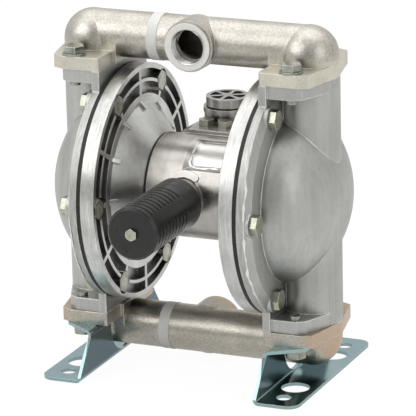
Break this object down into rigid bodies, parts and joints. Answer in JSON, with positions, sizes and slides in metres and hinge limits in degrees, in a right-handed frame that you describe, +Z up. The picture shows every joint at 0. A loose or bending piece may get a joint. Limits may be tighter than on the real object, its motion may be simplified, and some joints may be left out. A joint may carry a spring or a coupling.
{
  "type": "air operated diaphragm pump",
  "caption": "Air driven double diaphragm pump of cast metal: two domed fluid chambers, four ball valves, pipe manifolds above and below, a central air motor with a muffler, on bent feet.",
  "frame": {"origin": "centre of the four foot bolt holes, on the ground under the feet", "axes": "+X along the diaphragm shaft to the right chamber, -Y to the front with the outlet and the muffler, +Z up"},
  "size_m": [0.278, 0.2695, 0.329],
  "materials": {
    "cast_aluminium": "as cast, blasted",
    "cast_stainless": "investment cast, blasted",
    "zinc_sheet": "zinc plated bent sheet",
    "zinc_fastener": "zinc plated",
    "shaft_steel": "ground bar",
    "black_rubber": "moulded",
    "black_plastic": "moulded, fine grain",
    "bronze": "turned",
    "white_tape": "plain tape",
    "white_fibre": "felted"
  },
  "bodies": {
    "pump_body": {"centre_body": "cast_aluminium", "right_air_chamber": "cast_aluminium", "left_air_chamber": "cast_aluminium", "valve_sleeve": "cast_aluminium", "discharge_manifold": "cast_stainless", "suction_manifold": "cast_stainless", "right_out_chamber": "cast_stainless", "left_out_chamber": "cast_stainless", "right_discharge_seat": "cast_stainless", "left_discharge_seat": "cast_stainless", "right_suction_seat": "cast_stainless", "left_suction_seat": "cast_stainless", "right_foot_bracket": "zinc_sheet", "left_foot_bracket": "zinc_sheet", "discharge_bolts": "zinc_fastener", "discharge_washers": "zinc_fastener", "suction_bolts": "zinc_fastener", "suction_washers": "zinc_fastener", "body_plugs": "zinc_fastener", "body_screws": "zinc_fastener", "chamber_bolts": "zinc_fastener", "chamber_nuts": "zinc_fastener", "muffler_bolt": "zinc_fastener", "right_body_gasket": "black_rubber", "left_body_gasket": "black_rubber", "right_diaphragm": "black_rubber", "left_diaphragm": "black_rubber", "right_shaft_seal": "black_rubber", "left_shaft_seal": "black_rubber", "upper_cap_seal": "black_rubber", "lower_cap_seal": "black_rubber", "seat_rings": "black_rubber", "muffler_body": "black_plastic", "muffler_end_cap": "black_plastic", "upper_valve_cap": "black_plastic", "lower_valve_cap": "black_plastic", "right_shaft_bush": "bronze", "left_shaft_bush": "bronze", "pilot_sleeves": "bronze", "upper_tape_band": "white_tape", "lower_tape_band": "white_tape", "muffler_element": "white_fibre"},
    "shaft_group": {"shaft": "shaft_steel", "right_inner_disc": "cast_aluminium", "left_inner_disc": "cast_aluminium", "right_outer_disc": "cast_aluminium", "left_outer_disc": "cast_aluminium", "right_disc_nut": "zinc_fastener", "left_disc_nut": "zinc_fastener"},
    "pilot": {"pilot_rod": "shaft_steel"},
    "spool": {"valve_spool": "cast_aluminium"},
    "right_discharge_ball_body": {"right_discharge_ball": "black_rubber"},
    "left_discharge_ball_body": {"left_discharge_ball": "black_rubber"},
    "right_suction_ball_body": {"right_suction_ball": "black_rubber"},
    "left_suction_ball_body": {"left_suction_ball": "black_rubber"}
  },
  "joints": [
    {"name": "shaft_stroke", "type": "slide", "parent": "pump_body", "child": "shaft_group", "axis": [1, 0, 0], "range_m": [-0.012, 0.012], "deforming": ["right_diaphragm", "left_diaphragm"]},
    {"name": "pilot_shift", "type": "slide", "parent": "pump_body", "child": "pilot", "axis": [1, 0, 0], "range_m": [-0.006, 0.006]},
    {"name": "spool_shift", "type": "slide", "parent": "pump_body", "child": "spool", "axis": [0, 0, 1], "range_m": [-0.005, 0.005]},
    {"name": "right_discharge_ball_lift", "type": "slide", "parent": "pump_body", "child": "right_discharge_ball_body", "axis": [0, 0, 1], "range_m": [0, 0.008]},
    {"name": "right_suction_ball_lift", "type": "slide", "parent": "pump_body", "child": "right_suction_ball_body", "axis": [0, 0, 1], "range_m": [0, 0.008]},
    {"name": "left_discharge_ball_lift", "type": "slide", "parent": "pump_body", "child": "left_discharge_ball_body", "axis": [0, 0, 1], "range_m": [0, 0.008]},
    {"name": "left_suction_ball_lift", "type": "slide", "parent": "pump_body", "child": "left_suction_ball_body", "axis": [0, 0, 1], "range_m": [0, 0.008]}
  ],
  "couplings": [
    {"joint": "pilot_shift", "follows": "shaft_stroke", "ratio": 0.5}
  ]
}
